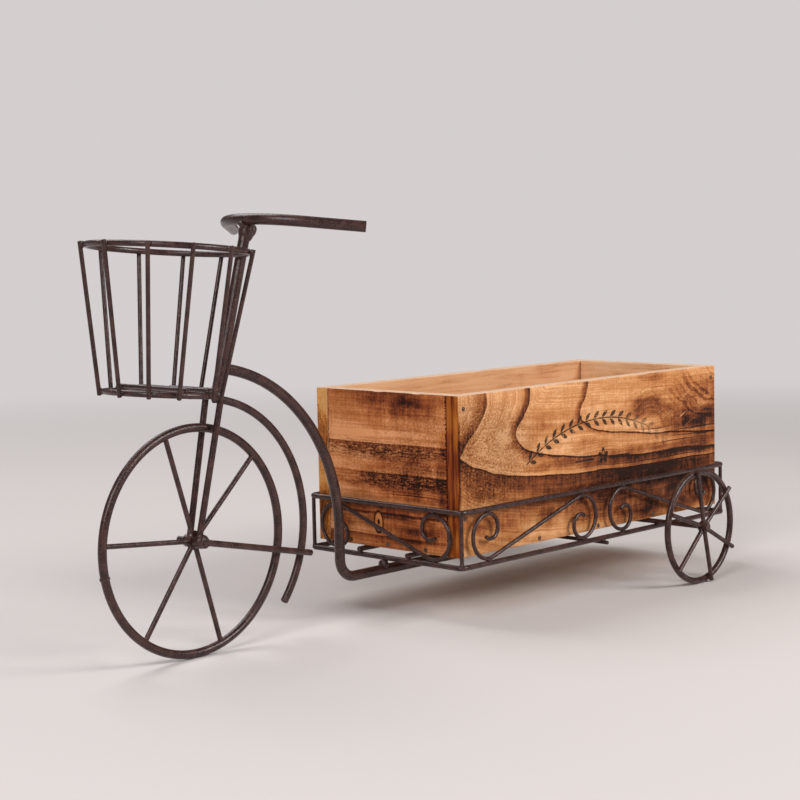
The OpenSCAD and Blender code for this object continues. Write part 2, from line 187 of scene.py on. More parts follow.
def paintMaterial(name, look):
    material, tree, shader, place = newMaterial(name)
    wave = noise(tree, place, look["wave"], look["waveDetail"])
    grain = noise(tree, place, look["grain"], look["grainDetail"], look["grainRough"])
    tone = blendColor(tree, remap(tree, wave, *look["waveEdge"]), look["deep"], look["warm"])
    # painted speckle highlight: the pale tone laid over the brown where the fine grain rises
    speckHighlight = times(tree, remap(tree, grain, *look["speckHighlightEdge"]), look["speckHighlight"])
    rough = remap(tree, grain, *look["grainEdge"], *look["rough"])
    tree.links.new(blendColor(tree, speckHighlight, tone, look["fineSpeck"]), shader.inputs["Base Color"])
    tree.links.new(rough, shader.inputs["Roughness"])
    shader.inputs["Specular IOR Level"].default_value = look["shine"]
    fine = bump(tree, grain, look["grainBump"], look["grainDeep"])
    broad = bump(tree, wave, look["waveBump"], look["waveDeep"], Normal=fine)
    tree.links.new(broad, shader.inputs["Normal"])
    return material


brownPaint = paintMaterial("brown satin paint", paintLook)
weldPaint = paintMaterial("brown paint over weld", weldPaintLook)
for piece in cadNodes.values():
    if piece["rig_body"] != "planter_box":
        dressNode(piece, brownPaint)
print("paint done")


# scorched wood: u runs along a board, v up it, both in millimetres from its low corner

# The palest tone, at 0, is partly painted highlight on the rough-sawn relief, where the rough zones lift the
# wood, and partly the paler wood of pale spots and scratches.
woodTones = [(0.00, (0.800, 0.460, 0.240)), (0.14, (0.620, 0.305, 0.128)), (0.30, (0.490, 0.205, 0.072)),
             (0.52, (0.290, 0.095, 0.031)), (0.70, (0.165, 0.048, 0.017)), (0.86, (0.080, 0.023, 0.010)),
             (1.00, (0.024, 0.009, 0.006))]
woodGrain = {  # seed, waves per millimetre along and up, detail, roughness, and what becomes 0 and 1
    "grain": (0, 0.012, 0.75, 4, 0.60, 0.34, 0.66),
    "upright": (1, 0.42, 0.035, 3, 0.60, 0.34, 0.66),
    "jagged": (2, 0.90, 0.16, 2, 0.70, 0.00, 1.00),
    "lines": (3, 0.006, 0.55, 2, 0.50, 0.60, 0.68),
    "flake": (4, 0.17, 0.75, 4, 0.68, 0.36, 0.64),
    "cloudy": (5, 0.045, 0.07, 4, 0.60, 0.32, 0.68),
    "speck": (6, 0.62, 0.58, 3, 0.75, 0.32, 0.68),
    "driftU": (0, 0.035, 0.045, 3, 0.60, 0.00, 1.00),
    "driftV": (7, 0.020, 0.050, 3, 0.60, 0.00, 1.00),
    "fineSpeck": (8, 2.6, 2.2, 2, 0.60, 0.30, 0.70),
    "scratch": (9, 0.03, 0.90, 2, 0.50, 0.66, 0.71),
    "dotted": (10, 0.50, 0.62, 2, 0.60, 0.46, 0.56),
    "warmth": (11, 0.02, 0.03, 2, 0.60, 0.35, 0.65),
    "wear": (12, 0.25, 0.30, 4, 0.70, 0.34, 0.46),
    "chatter": (13, 0.46, 0.62, 3, 0.75, 0.36, 0.64),
    "smoke": (14, 0.11, 0.10, 4, 0.70, 0.30, 0.70),
    "growth": (15, 0.004, 0.17, 2, 0.50, 0.36, 0.64),
    "swirl": (0, 0.22, 0.0, 2, 0.60, 0.46, 0.66)}
scorchLook = {  # what all the scorched boards share
    "patchy": (0.55, 0.70), "sootUpright": 0.4, "sootSmoke": 0.6, "fineSpeck": 0.10, "growth": 0.13,
    "smoke": 0.10, "chatter": 0.34, "torn": 0.22, "scratchSlope": -0.42, "scratch": -0.8,
    "jointLine": (1.7, 0.7), "warm": (1.0, 0.90, 0.78), "warmth": 0.55, "rough": (0.50, 0.74), "shine": 0.12,
    "bump": 0.7, "bumpDeep": 0.4, "bumpSpeck": 0.35, "bumpTorn": 0.9, "bumpDark": -0.8, "bumpChatter": 4.0}
tongueLook = {"sideSpan": 120, "lowSpan": 330, "round": 7.0, "turn": (-6.0, 10.0), "rim": (-0.15, 0.45),
              "lineAt": 0.7, "lineEdge": (1.0, 0.2)}
bandLook = {"rim": (-0.15, 0.5), "tornStart": 0.30, "mottled": 0.75, "lift": 0.35, "near": (0.5, 3.0),
            "weak": 0.25}
swirlLook = {"flat": 1.6, "torn": 9.0}
knotTones = [(0.0, 1.0), (0.10, 0.95), (0.14, 0.06), (0.34, 0.02), (0.42, 0.40), (0.46, 0.95), (0.52, 0.85),
             (0.56, 0.4)]
knotEdge = (1.22, 1.02)


def boardCoordinates(tree, place, corner, along):
    split = addNode(tree, "ShaderNodeSeparateXYZ", {"Vector": place})
    return [timesPlus(tree, split.outputs[axis], 1 / mm, -corner[axis] / mm) for axis in (along, "Z")]


def grainLayer(tree, u, v, seed, kind):
    shift, fineU, fineV, detail, rough, low, high = woodGrain[kind]
    inputs = {"X": times(tree, u, fineU), "Y": times(tree, v, fineV), "Z": seed + shift}
    vector = addNode(tree, "ShaderNodeCombineXYZ", inputs).outputs[0]
    return crisp(tree, noise(tree, vector, 1.0, detail, rough), low, high)


def curveThrough(tree, value, points, span, shift=60.0, reach=400.0):
    node = addNode(tree, "ShaderNodeFloatCurve", {"Value": times(tree, value, 1 / span)})
    line = node.mapping.curves[0]
    while len(line.points) < len(points):
        line.points.new(0.5, 0.5)
    for dot, (x, y) in zip(line.points, points):
        dot.location = (x / span, (y + shift) / reach)
    node.mapping.update()
    return timesPlus(tree, node.outputs["Value"], reach, -shift)


def fromCentre(tree, u, v, centreU, centreV, halfU, halfV):
    return times(tree, minus(tree, u, centreU), 1 / halfU), times(tree, minus(tree, v, centreV), 1 / halfV)


def spotMask(tree, u, v, spot):
    across, up = fromCentre(tree, u, v, *spot[:4])
    far = plus(tree, times(tree, across, across), times(tree, up, up))
    return times(tree, remap(tree, far, 1.0, 0.0), spot[4])


def tongueScorch(tree, u, v, tongue):
    fromSide = minus(tree, u, curveThrough(tree, v, tongue["side"], tongueLook["sideSpan"]))
    fromLow = minus(tree, v, curveThrough(tree, u, tongue["low"], tongueLook["lowSpan"]))
    inside = calc(tree, "SMOOTH_MIN", fromSide, fromLow, tongueLook["round"])
    lower = remap(tree, minus(tree, fromSide, fromLow), *tongueLook["turn"])
    width = remap(tree, lower, 0.0, 1.0, *tongue["width"])
    peak = remap(tree, lower, 0.0, 1.0, *tongue["peak"])
    outside = times(tree, inside, -1.0)
    fade = remap(tree, outside, 0.0, width, 1.0, 0.0)
    rim = remap(tree, outside, *tongueLook["rim"])
    edge = remap(tree, unsigned(tree, minus(tree, outside, tongueLook["lineAt"])), *tongueLook["lineEdge"])
    line = times(tree, edge, times(tree, lower, tongue["line"]))
    return plus(tree, times(tree, times(tree, rim, fade), peak), line), inside


def bandScorch(tree, u, v, flake, band):
    place, width, peak, ragged, weak, strong = band
    below = minus(tree, place, v)
    rim = remap(tree, below, *bandLook["rim"])
    torn = addLayer(tree, below, flake, ragged * width)
    fade = remap(tree, torn, width * (bandLook["tornStart"] if ragged else 0.0), width, 1.0, 0.0)
    mottled = timesPlus(tree, flake, -bandLook["mottled"] * ragged, peak * (1 + bandLook["lift"] * ragged))
    near = remap(tree, below, *bandLook["near"])
    deep = timesPlus(tree, minus(tree, mottled, peak), near, peak)
    stretch = remap(tree, u, weak, strong, bandLook["weak"], 1.0)
    return times(tree, times(tree, rim, fade), times(tree, deep, stretch))


def swirlLines(tree, u, v, torn, swirl):
    centreU, centreV, seed, spot = swirl
    across, up = fromCentre(tree, u, v, centreU, centreV, 1.0, 1 / swirlLook["flat"])
    far = timesPlus(tree, torn, swirlLook["torn"], distance(tree, across, up))
    return times(tree, grainLayer(tree, far, 0.0, seed, "swirl"), spotMask(tree, u, v, spot))


def addKnot(tree, u, v, knot, torn, dark):
    far = addLayer(tree, distance(tree, *fromCentre(tree, u, v, *knot[:4])), torn, knot[4])
    shape = ramp(tree, times(tree, far, 0.5), knotTones)
    cover = remap(tree, far, *knotEdge)
    return plus(tree, times(tree, dark, minus(tree, 1.0, cover)), times(tree, shape, cover))


def garlandMask(tree, u, v, look):
    across, up = fromCentre(tree, u, v, *look["centre"], 1.0, 1.0)
    off = minus(tree, distance(tree, across, up), look["radius"])
    along = times(tree, calc(tree, "ARCTAN2", across, up), look["radius"])
    cell = minus(tree, calc(tree, "FLOORED_MODULO", along, look["pitch"]), look["pitch"] / 2)
    side = minus(tree, unsigned(tree, off), look["leafOff"])
    cosine, sine = math.cos(look["leafTurn"]), math.sin(look["leafTurn"])
    long = unsigned(tree, timesPlus(tree, cell, cosine, times(tree, side, sine)))
    wide = unsigned(tree, timesPlus(tree, side, cosine, times(tree, cell, -sine)))
    halfLong, halfWide = look["leaf"]
    pointed = calc(tree, "POWER", times(tree, long, 1 / halfLong), 2.0)
    leaf = remap(tree, plus(tree, pointed, times(tree, wide, 1 / halfWide)), *look["leafEdge"])
    leaves = larger(tree, leaf, remap(tree, unsigned(tree, off), *look["stalk"]))
    ends = remap(tree, unsigned(tree, along), look["half"], look["half"] - look["endFade"])
    flowerU, flowerV = fromCentre(tree, u, v, *look["flower"], 1.0, 1.0)
    ray = distance(tree, flowerU, flowerV)
    turn = times(tree, calc(tree, "ARCTAN2", flowerU, flowerV), look["petals"] / 2)
    petal = unsigned(tree, calc(tree, "COSINE", turn))
    notch = look["petalReach"] * look["notch"]
    pastRim = minus(tree, ray, timesPlus(tree, petal, notch, look["petalReach"] - notch))
    petals = times(tree, remap(tree, pastRim, *look["petalEdge"]), remap(tree, ray, *look["ring"]))
    flower = larger(tree, petals, remap(tree, ray, *look["heart"]))
    dashOff = unsigned(tree, minus(tree, unsigned(tree, flowerU), look["dashAt"]))
    dashHigh = unsigned(tree, plus(tree, flowerV, look["dashDrop"]))
    dash = times(tree, remap(tree, dashOff, *look["dashEnd"]), remap(tree, dashHigh, *look["dashEdge"]))
    return larger(tree, larger(tree, times(tree, leaves, ends), flower), dash)


def scorchedWood(name, corner, along, look):
    material, tree, shader, place = newMaterial(name)
    u, v = boardCoordinates(tree, place, corner, along)
    slanted = plus(tree, u, v)

    def layer(kind, across=u, up=v):
        return grainLayer(tree, across, up, look["seed"], kind)

    def zones(key):
        mask = 0.0
        for zone in look[key]:
            mask = larger(tree, mask, spotMask(tree, u, v, zone))
        return mask

    flake, cloudy, upright, smoke = (layer(kind) for kind in ("flake", "cloudy", "upright", "smoke"))
    speck, chatter, fineSpeck = (layer(kind) for kind in ("speck", "chatter", "fineSpeck"))
    warpU = addLayer(tree, u, layer("driftU"), look["drift"])
    warpV = addLayer(tree, v, layer("driftV"), look["drift"])
    warpV = addLayer(tree, warpV, layer("jagged"), look["jag"])

    dark = 0.0
    ring = warpV  # the growth rings follow the first tongue, or else run along the board
    for number, tongue in enumerate(look["tongues"]):
        scorch, inside = tongueScorch(tree, warpU, warpV, tongue)
        ring = inside if number == 0 else ring
        dark = larger(tree, dark, scorch)
    for band in look["bands"]:
        dark = larger(tree, dark, bandScorch(tree, u, warpV, flake, band))
    patchy = timesPlus(tree, cloudy, *scorchLook["patchy"])
    # the spots darken the wood: scorch, and on the near boards also painted shadow under the rails and
    # scrolls
    for spot in look["scorchAndShadeSpots"]:
        dark = timesPlus(tree, spotMask(tree, u, v, spot), patchy, dark)
    soot = timesPlus(tree, upright, scorchLook["sootUpright"], times(tree, smoke, scorchLook["sootSmoke"]))
    dark = times(tree, dark, timesPlus(tree, soot, look["sooty"], 1.0 - look["sooty"] / 2))

    shares = [(layer("grain", slanted, ring), look["grainy"]), (upright, look["upright"]),
              (cloudy, look["cloudy"]), (speck, look["specky"]), (fineSpeck, scorchLook["fineSpeck"]),
              (layer("growth", slanted, ring), scorchLook["growth"]), (smoke, scorchLook["smoke"])]
    for tone, share in shares:
        dark = addLayer(tree, dark, tone, share)
    dark = timesPlus(tree, layer("lines", slanted, ring), zones("lined"), dark)
    # In the rough zones the chatter and speck noise also go into the colour, partly as the sawn wood's own
    # flecks and partly as painted highlight and shade on its relief, besides its bumps.
    rough = zones("rough")
    for tone, share in ((chatter, scorchLook["chatter"]), (speck, scorchLook["torn"])):
        dark = timesPlus(tree, times(tree, minus(tree, tone, 0.5), rough), share, dark)
    for swirl in look["swirls"]:
        dark = plus(tree, dark, swirlLines(tree, u, v, cloudy, swirl))
    scratch = layer("scratch", u, timesPlus(tree, u, scorchLook["scratchSlope"], v))
    dark = timesPlus(tree, times(tree, scratch, zones("scratched")), scorchLook["scratch"], dark)
    for knot in look["knots"]:
        dark = addKnot(tree, u, v, knot, cloudy, dark)
    if look["joint"]:
        end = calc(tree, "MINIMUM", u, minus(tree, look["joint"], u))
        dark = plus(tree, dark, times(tree, remap(tree, end, *scorchLook["jointLine"]), layer("dotted")))
    dark = calc(tree, "ADD", dark, look["base"], clamp=True)

    warmth = times(tree, layer("warmth"), scorchLook["warmth"])
    color = blendColor(tree, warmth, ramp(tree, dark, woodTones), scorchLook["warm"], "MULTIPLY")
    color = blendColor(tree, 1.0, color, look["tint"], "MULTIPLY")
    if look["garland"]:
        worn = times(tree, layer("wear"), remap(tree, u, *look["garland"]["fading"]))
        color = blendColor(tree, times(tree, garlandMask(tree, u, v, look["garland"]), worn), color,
                           look["garland"]["ink"])
    tree.links.new(color, shader.inputs["Base Color"])
    tree.links.new(remap(tree, speck, 0.0, 1.0, *scorchLook["rough"]), shader.inputs["Roughness"])
    shader.inputs["Specular IOR Level"].default_value = scorchLook["shine"]
    speckHeight = timesPlus(tree, rough, scorchLook["bumpTorn"], scorchLook["bumpSpeck"])
    height = timesPlus(tree, speck, speckHeight, times(tree, dark, scorchLook["bumpDark"]))
    height = timesPlus(tree, times(tree, chatter, rough), scorchLook["bumpChatter"], height)
    tree.links.new(bump(tree, height, scorchLook["bump"], scorchLook["bumpDeep"]), shader.inputs["Normal"])
    return material


garland = {
    "centre": (168, -79), "radius": 167, "half": 97, "endFade": 0.6, "pitch": 10.5, "stalk": (0.75, 0.45),
    "leaf": (4.3, 1.7), "leafOff": 3.3, "leafTurn": 0.62, "leafEdge": (1.08, 0.92),
    "flower": (171, 58), "petals": 5, "petalReach": 6.8, "notch": 0.62, "petalEdge": (0.2, -0.2),
    "ring": (2.0, 2.4), "heart": (1.4, 1.1),
    "dashAt": 24, "dashDrop": 1.5, "dashEnd": (12, 11.5), "dashEdge": (0.8, 0.5),
    "ink": (0.016, 0.012, 0.010), "fading": (185, 255, 0.93, 0.35)}

# Spots and zones are oval: centre, half length, half height and strength, which is below 0 where the wood is
# paler. A tongue is bare wood inside its side and low outlines. A band runs down from a height: its width,
# its darkness, how ragged it is, and where along the board it is weak and strong. A knot ends with how torn
# it is, and a swirl is a centre, a seed and a spot.

boardShared = {"base": 0.12, "grainy": 0.20, "upright": 0.07, "sooty": 0.55, "cloudy": 0.15,
               "tongues": [], "bands": [], "knots": [], "swirls": [], "joint": 0, "garland": None}
sideBoards = {**boardShared, "tint": (1.0, 0.97, 0.95), "jag": 1.0, "specky": 0.15}
endBoards = {**boardShared, "jag": 0.5, "specky": 0.18, "joint": 123}
leftLook = {
    **sideBoards, "seed": 3.0, "drift": 5.0, "garland": garland,
    "tongues": [
        {"side": [(0, -50), (58, -48), (68, -12), (75.8, 3.6), (82.3, 8), (89.8, 17.6), (97.4, 25.2),
                  (104, 29.6), (111, 32.6), (119, 32.1)],
         "low": [(0, 74), (5.6, 71.4), (12.8, 67), (25.4, 63), (42.5, 58.2), (64.3, 54.3), (86.8, 51.8),
                 (114, 49.4), (165, 47.6), (208, 46), (329, 45)],
         "width": (22, 36), "peak": (0.50, 0.60), "line": 0.22},
        {"side": [(0, -50), (58, -10), (70, 52), (79, 65), (85.2, 65.1), (90.7, 67.4), (96, 72),
                  (102.7, 77.7), (111, 81.3), (119, 81.4)],
         "low": [(0, 84), (56, 84), (67, 79.2), (73.7, 74.3), (82.6, 70.5), (100.8, 66.4), (133.6, 61.9),
                 (170, 58.4), (208, 56), (247, 54.3), (288, 53.4), (329, 51.8)],
         "width": (14, 12), "peak": (0.70, 0.50), "line": 0.40},
        {"side": [(0, -50), (50, 40), (76, 120), (86, 141), (94.2, 142.6), (100, 144.3), (105.6, 149.3),
                  (112.8, 151.8), (119, 155)],
         "low": [(0, 92), (136, 92), (146, 87.9), (155.6, 82.5), (172.8, 77.9), (195.3, 74.5), (221, 71.8),
                 (261, 68.8), (288, 67), (329, 64.6)],
         "width": (10, 7), "peak": (0.66, 0.32), "line": 0.55}],
    # The spots low on the board, under the rails, are partly scorch and partly painted shadow of the rails
    # and scrolls; the long one along row 25 at the near end is painted shadow of the upper rail.
    "scorchAndShadeSpots": [
        (232, 92, 28, 14, 0.26), (300, 76, 78, 11, 0.46), (268, 108, 30, 12, 0.10), (238, 116, 26, 5, 0.30),
        (322, 100, 22, 14, 0.16), (4, 80, 22, 24, 0.16), (0, 66, 2.6, 60, 0.50), (232, 54, 150, 11, 0.38),
        (200, 41, 190, 8, 0.12), (224, 22, 120, 30, 0.42), (262, 10, 90, 18, 0.26), (60, 25, 96, 12, 0.30),
        (100, 18, 14, 12, 0.24), (20, 47, 60, 9, 0.12), (262, 18, 14, 12, 0.24), (316, 14, 26, 16, 0.26),
        (306, 80, 58, 36, 0.28), (262, 84, 26, 10, 0.18), (314, 56, 30, 16, 0.20), (58, 84, 20, 9, -0.24),
        (112, 90, 40, 12, 0.16), (92, 57, 26, 5, 0.18), (158, 68, 30, 9, 0.16), (150, 18, 60, 16, 0.22),
        (30, 12, 60, 12, 0.14), (228, 92, 40, 12, 0.10), (112, 57, 30, 5, 0.14),
        (16, 42, 32, 7, 0.16), (84, 90, 20, 18, 0.14), (316, 16, 28, 18, 0.14)],
    "lined": [(290, 60, 170, 20, 0.85), (110, 22, 130, 22, 0.30)],
    "rough": [(30, 72, 66, 50, 1.2), (14, 84, 34, 44, 1.2)],
    "scratched": [(280, 88, 70, 26, 1.0)],
    "swirls": [(336, 128, 2.2, (306, 98, 60, 30, 0.34)), (236, 78, 5.6, (236, 98, 46, 26, 0.16))]}
rightLook = {
    **sideBoards, "seed": 9.4, "drift": 6.0,
    "tongues": [
        {"side": [(0, -50), (40, -46), (52, 4), (60, 22), (70, 27), (82, 40), (96, 58), (108, 70),
                  (119, 74)],
         "low": [(0, 60), (20, 60), (34, 52), (60, 44), (100, 38), (160, 33), (230, 31), (329, 28)],
         "width": (60, 22), "peak": (0.58, 0.70), "line": 0.12},
        {"side": [(0, -50), (40, 20), (56, 92), (66, 104), (76, 108), (88, 121), (100, 134), (110, 137),
                  (119, 142)],
         "low": [(0, 74), (90, 72), (108, 62), (130, 54), (170, 48), (230, 44), (329, 40)],
         "width": (12, 9), "peak": (0.64, 0.48), "line": 0.40},
        {"side": [(0, -50), (50, 90), (70, 186), (82, 196), (94, 200), (104, 212), (119, 219)],
         "low": [(0, 90), (180, 88), (200, 74), (230, 66), (270, 61), (329, 57)],
         "width": (9, 5), "peak": (0.62, 0.30), "line": 0.50}],
    "scorchAndShadeSpots": [(40, 20, 70, 18, 0.30), (300, 98, 60, 22, 0.36), (180, 14, 90, 12, 0.22)],
    "lined": [(290, 50, 170, 22, 0.8)],
    "rough": [(40, 60, 60, 40, 0.9)],
    "scratched": [(280, 90, 70, 26, 1.0)],
    "knots": [(262, 80, 8, 9, 0.7)],
    "swirls": [(262, 80, 3.1, (262, 84, 60, 34, 0.34))]}
frontLook = {
    **endBoards, "seed": 5.2, "tint": (1.06, 0.86, 0.76), "drift": 3.4,
    "bands": [(136, 46, 0.50, 0, -1, 0), (80, 10, 0.62, 0.7, -1, 0), (57.5, 11, 0.64, 0.8, 112, 60),
              (35, 4, 0.60, 0.5, 130, 90), (27.5, 3, 0.36, 0.4, 130, 90), (10, 18, 0.56, 0, 0, 50)],
    # The spot along row 29 is painted shadow under the upper rail; the spots in rows 20 and 12 under it make
    # the board darker towards the bottom.
    "scorchAndShadeSpots": [
        (58, 113, 42, 15, 0.34), (3, 58, 10, 40, 0.36), (114, 76, 16, 9, -0.2), (50, 64, 80, 6, 0.16),
        (40, 48, 70, 6, 0.24), (30, 41, 50, 5, 0.18), (108, 41, 24, 7, -0.1), (60, 29, 96, 6, 0.52),
        (40, 20, 70, 8, 0.30), (34, 12, 50, 7, 0.30), (90, 5, 26, 7, -0.3), (80, 72, 30, 5, 0.16),
        (34, 106, 36, 8, 0.22), (98, 88, 32, 10, -0.16), (6, 80, 12, 5, -0.14), (46, 71, 44, 6, 0.30),
        (34, 63, 48, 6, 0.24), (56, 56, 72, 6, 0.16), (54, 48, 74, 6, 0.26), (46, 41, 68, 6, 0.24),
        (8, 20, 18, 8, 0.22), (102, 20, 20, 9, 0.24), (24, 12, 50, 7, 0.14), (54, 97, 66, 8, 0.12)],
    "lined": [(60, 42, 90, 40, 0.35)],
    "rough": [(24, 92, 40, 22, 0.5), (44, 53, 60, 10, 1.6), (60, 74, 90, 9, 1.6), (30, 62, 40, 8, 1.0)],
    "scratched": [(80, 76, 60, 16, 0.8)],
    "knots": [(70.4, 19.7, 4.8, 8.2, 0.10)]}
rearLook = {
    **endBoards, "seed": 8.1, "tint": (1.03, 0.88, 0.80), "drift": 4.4,
    "bands": [(134, 34, 0.80, 0, 150, 60), (89, 10, 0.56, 0.8, 140, 60), (62, 9, 0.60, 0.8, 0, 50),
              (44, 4, 0.56, 0.5, 130, 60), (22, 14, 0.52, 0.3, 0, 60)],
    "scorchAndShadeSpots": [(96, 70, 46, 12, 0.30), (20, 20, 50, 16, 0.25), (40, 104, 50, 14, 0.20)],
    "lined": [(60, 50, 90, 40, 0.35)],
    "rough": [(40, 96, 60, 16, 0.9), (80, 60, 60, 20, 0.9)],
    "scratched": [(50, 76, 60, 20, 0.8)],
    "knots": [(34, 74, 7, 6, 0.8)],
    "swirls": [(34, 74, 6.3, (34, 74, 34, 24, 0.30))]}


# sawn wood: the inside of the box, the top edges and the ends of the side boards

sawnLooks = {
    "inside": {"twist": 0.6, "specky": 0.3, "patchy": 0.45, "rough": 0.62, "bump": 0.4, "shine": 0.2},
    "edge": {"twist": 1.2, "specky": 0.7, "patchy": 0.1, "rough": 0.75, "bump": 0.8, "shine": 0.2},
    "end": {"twist": 1.5, "specky": 0.15, "patchy": 0.9, "rough": 0.40, "bump": 0.25, "shine": 0.12},
    "farEnd": {"twist": 2.8, "specky": 0.8, "patchy": 1.5, "rough": 0.50, "bump": 0.50, "shine": 0.12}}
sawnTones = {
    "inside": [(0.28, (0.420, 0.190, 0.080)), (0.42, (0.640, 0.345, 0.170)), (0.62, (0.720, 0.430, 0.235))],
    # the same inside wood painted lighter, as painted light on the rear board's inside
    "cross": [(0.28, (0.560, 0.290, 0.130)), (0.42, (0.800, 0.500, 0.270)), (0.62, (0.880, 0.600, 0.360))],
    "edge": [(0.25, (0.520, 0.300, 0.170)), (0.48, (0.720, 0.480, 0.320)), (0.70, (0.800, 0.580, 0.430))],
    "end": [(0.26, (0.110, 0.014, 0.003)), (0.42, (0.260, 0.055, 0.008)), (0.56, (0.400, 0.115, 0.014)),
            (0.74, (0.500, 0.190, 0.034))],
    "farEnd": [(0.20, (0.090, 0.024, 0.007)), (0.36, (0.400, 0.120, 0.020)), (0.50, (0.620, 0.225, 0.044)),
               (0.68, (0.760, 0.390, 0.140))]}
sawnShared = {"grainDetail": 5, "grainRough": 0.65, "grainEdge": (0.3, 0.7), "roughSpread": 0.1,
              "speck": 900, "speckDetail": 3, "speckRough": 0.6, "broad": 26, "broadDetail": 2, "deep": 0.5}
crackLook = {"turn": 0.55, "scale": (60, 60, 520), "detail": 3, "roughness": 0.7, "twist": 1.6,
             "line": (0.61, 0.67), "patch": 120, "patchRough": 0.6, "patchEdge": (0.46, 0.60), "dark": -0.5}
heartLook = {  # how the end grain goes darker and paler, in millimetres from its middle line and its foot
    "middle": -67.5, "line": (2.2, 0.2), "lineDark": -0.20, "edge": (4.6, 6.0), "edgeDark": -0.16,
    "foot": 48.0, "top": (74.0, 104.0), "topPale": 0.14,
    "waist": 52.0, "waistReach": (30.0, 6.0), "waistDark": -0.12}


def addCracks(tree, place, value):
    inputs = {"Vector": place, "Rotation": (crackLook["turn"], 0.0, 0.0), "Scale": crackLook["scale"]}
    slanted = addNode(tree, "ShaderNodeMapping", inputs).outputs[0]
    detail = crackLook["detail"]
    crack = noise(tree, slanted, 1.0, detail, crackLook["roughness"], crackLook["twist"])
    patch = noise(tree, place, crackLook["patch"], detail, crackLook["patchRough"])
    cracked = times(tree, crisp(tree, crack, *crackLook["line"]), crisp(tree, patch, *crackLook["patchEdge"]))
    return timesPlus(tree, cracked, crackLook["dark"], value)


def addHeart(tree, place, value):
    split = addNode(tree, "ShaderNodeSeparateXYZ", {"Vector": place})
    away = unsigned(tree, minus(tree, times(tree, split.outputs["Y"], 1 / mm), heartLook["middle"]))
    rise = timesPlus(tree, split.outputs["Z"], 1 / mm, -heartLook["foot"])
    fromWaist = unsigned(tree, minus(tree, rise, heartLook["waist"]))
    value = timesPlus(tree, remap(tree, away, *heartLook["line"]), heartLook["lineDark"], value)
    value = timesPlus(tree, remap(tree, away, *heartLook["edge"]), heartLook["edgeDark"], value)
    value = timesPlus(tree, remap(tree, rise, *heartLook["top"]), heartLook["topPale"], value)
    return timesPlus(tree, remap(tree, fromWaist, *heartLook["waistReach"]), heartLook["waistDark"], value)


def sawnWood(name, tones, kind, stretch, special=None):
    material, tree, shader, place = newMaterial(name)
    look = {**sawnShared, **sawnLooks[kind]}
    shader.inputs["Specular IOR Level"].default_value = look["shine"]
    mapped = addNode(tree, "ShaderNodeMapping", {"Vector": place, "Scale": stretch}).outputs[0]
    grain = noise(tree, mapped, 1.0, look["grainDetail"], look["grainRough"], look["twist"])
    speck = noise(tree, place, look["speck"], look["speckDetail"], look["speckRough"])
    broad = noise(tree, place, look["broad"], look["broadDetail"])
    value = addLayer(tree, addLayer(tree, grain, speck, look["specky"]), broad, look["patchy"])
    if special:
        value = special(tree, place, value)
    rough = addLayer(tree, look["rough"], remap(tree, grain, *look["grainEdge"]), 2 * look["roughSpread"])
    tree.links.new(ramp(tree, value, sawnTones[tones]), shader.inputs["Base Color"])
    tree.links.new(rough, shader.inputs["Roughness"])
    tree.links.new(bump(tree, value, look["bump"], look["deep"]), shader.inputs["Normal"])
    return material


# the boards across the box take the inside wood painted lighter, as painted light on the rear board's inside
insideWood = {"X": sawnWood("inside wood along", "inside", "inside", (14, 300, 210)),
              "Y": sawnWood("inside wood across painted lighter", "cross", "inside", (300, 14, 210))}
sawnEdge = {"X": sawnWood("sawn edge along", "edge", "edge", (60, 700, 700)),
            "Y": sawnWood("sawn edge across", "edge", "edge", (700, 60, 700))}
endGrain = sawnWood("end grain", "end", "end", (200, 420, 22), addHeart)
farEndGrain = sawnWood("end grain far", "farEnd", "farEnd", (260, 300, 60), addCracks)
print("wood done")


# boards of the box, modelled around the CAD's boards

boardLook = {"inset": 0.22, "edge": 0.7, "edgeSteps": 2, "cell": 4.0, "wave": 0.28, "waveSize": 16.0,
             "waveDetail": 3, "chipPush": 0.6, "chipDrop": -0.8, "sharp": 35, "facing": 0.6, "long": 0.6}
boards = {  # outer look, the axis it runs along, the side that faces out, and splinters: place and size
    "left_board": {"look": leftLook, "along": "X", "out": (0, -1),
                   "chips": [(43, 7), (151, 9), (156, 5), (224, 8)]},
    "right_board": {"look": rightLook, "along": "X", "out": (0, 1), "chips": [(60, 8), (190, 9), (280, 6)]},
    "front_board": {"look": frontLook, "along": "Y", "out": (-1, 0), "chips": [(70, 7), (30, 5)]},
    "rear_board": {"look": rearLook, "along": "Y", "out": (1, 0), "chips": [(50, 6), (96, 6)]},
    "bottom_board": {"look": None, "along": "X", "out": (0, 0), "chips": []}}


def selectOnly(piece):
    bpy.ops.object.select_all(action="DESELECT")
    bpy.context.view_layer.objects.active = piece
    piece.select_set(True)


def pickEdges(piece, test):
    mesh = piece.data
    for part in (mesh.vertices, mesh.edges, mesh.polygons):
        for item in part:
            item.select = False
    for edge in mesh.edges:
        first, second = (mesh.vertices[i].co for i in edge.vertices)
        edge.select = test(first, second)


def pickNear(piece, spot, reach):
    mesh = piece.data
    for part in (mesh.edges, mesh.polygons):
        for item in part:
            item.select = False
    for vertex in mesh.vertices:
        vertex.select = (vertex.co - spot).length < reach


def inEdit(piece, mode, action):
    selectOnly(piece)
    bpy.ops.object.mode_set(mode="EDIT")
    bpy.ops.mesh.select_mode(type=mode)
    bpy.ops.object.mode_set(mode="OBJECT")
    action()
    bpy.ops.object.mode_set(mode="EDIT")


